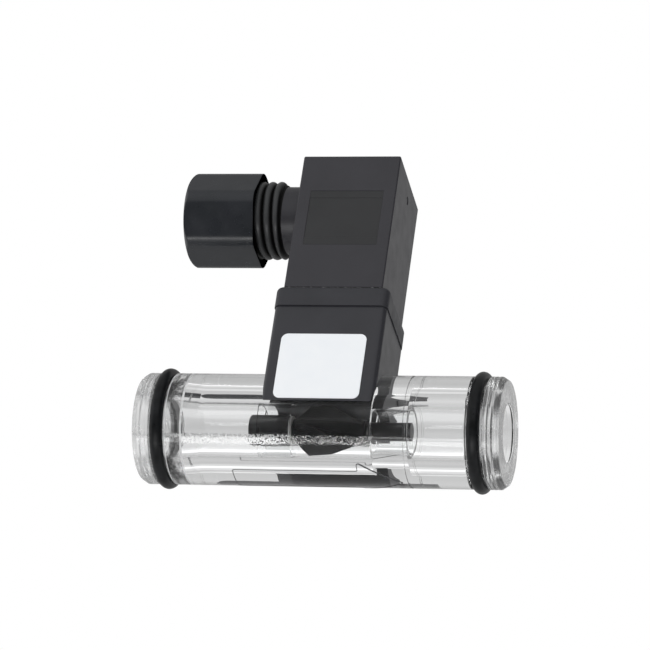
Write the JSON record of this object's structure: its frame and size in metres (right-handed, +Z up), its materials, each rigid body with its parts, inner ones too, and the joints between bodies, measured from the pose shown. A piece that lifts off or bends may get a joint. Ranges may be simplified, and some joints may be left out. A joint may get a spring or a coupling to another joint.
{
  "type": "flow switch",
  "caption": "In-line turbine flow switch: clear tube with sealed spigots, rotor on vaned supports, sensor block with label, gasket and right-angle plug with a cable gland.",
  "frame": {"origin": "centre of the inlet end face, on the flow axis", "axes": "+X along the flow from inlet to outlet, +Z up the plug, -Y towards the label"},
  "size_m": [0.0584, 0.0192, 0.0563],
  "materials": {
    "clear_plastic": "polished clear plastic",
    "clear_ring": "polished clear plastic",
    "black_rubber": "smooth rubber",
    "gasket_rubber": "moulded rubber",
    "dark_plastic": "moulded",
    "rotor_plastic": "moulded",
    "black_plastic": "fine satin moulding",
    "plug_plastic": "fine satin moulding",
    "carrier_plastic": "moulded",
    "label_white": "satin film",
    "board_green": "coated laminate",
    "chip_black": "moulded",
    "bearing_ceramic": "polished",
    "steel": "turned",
    "tinned_contact": "tinned",
    "brass": "turned",
    "magnet": "sintered"
  },
  "bodies": {
    "body": {"tube_body": "clear_plastic", "inlet_o_ring": "black_rubber", "outlet_o_ring": "black_rubber", "inlet_support": "dark_plastic", "outlet_support": "dark_plastic", "inlet_bearing": "bearing_ceramic", "outlet_bearing": "bearing_ceramic", "inlet_spacer_ring": "clear_ring", "outlet_retaining_ring": "clear_ring", "sensor_housing": "black_plastic", "housing_label": "label_white", "circuit_board": "board_green", "hall_sensor": "chip_black", "terminal_base": "black_plastic", "contact_blades": "tinned_contact", "threaded_insert": "brass", "profile_gasket": "gasket_rubber"},
    "rotor": {"rotor": "rotor_plastic", "rotor_shaft": "steel", "rotor_magnets": "magnet"},
    "plug": {"plug_housing": "plug_plastic", "plug_insert": "carrier_plastic", "socket_contacts": "tinned_contact", "terminal_screws": "steel", "screw_washer": "black_rubber", "gland_grommet": "black_rubber"},
    "retaining_screw": {"retaining_screw": "steel"},
    "gland_ring": {"gland_washer": "carrier_plastic"},
    "gland_nut": {"gland_nut": "plug_plastic"}
  },
  "joints": [
    {"name": "rotor_spin", "type": "hinge", "parent": "body", "child": "rotor", "pos_m": [0.03045, 0, 0], "axis": [1, 0, 0], "continuous": true},
    {"name": "plug_pull", "type": "slide", "parent": "body", "child": "plug", "axis": [0, 0, 1], "range_m": [0, 0.012]},
    {"name": "screw_turn", "type": "hinge", "parent": "plug", "child": "retaining_screw", "pos_m": [0.0295, -0.0011, 0.045], "axis": [0, 0, 1], "continuous": true},
    {"name": "gland_travel", "type": "slide", "parent": "plug", "child": "gland_ring", "axis": [1, 0, 0], "range_m": [-0.0045, 0.003]},
    {"name": "nut_turn", "type": "hinge", "parent": "gland_ring", "child": "gland_nut", "pos_m": [0.008, -0.0011, 0.03838], "axis": [1, 0, 0], "range_deg": [-1080, 720]}
  ],
  "couplings": [
    {"joint": "nut_turn", "follows": "gland_travel", "rad_per_m": 4188.8}
  ]
}
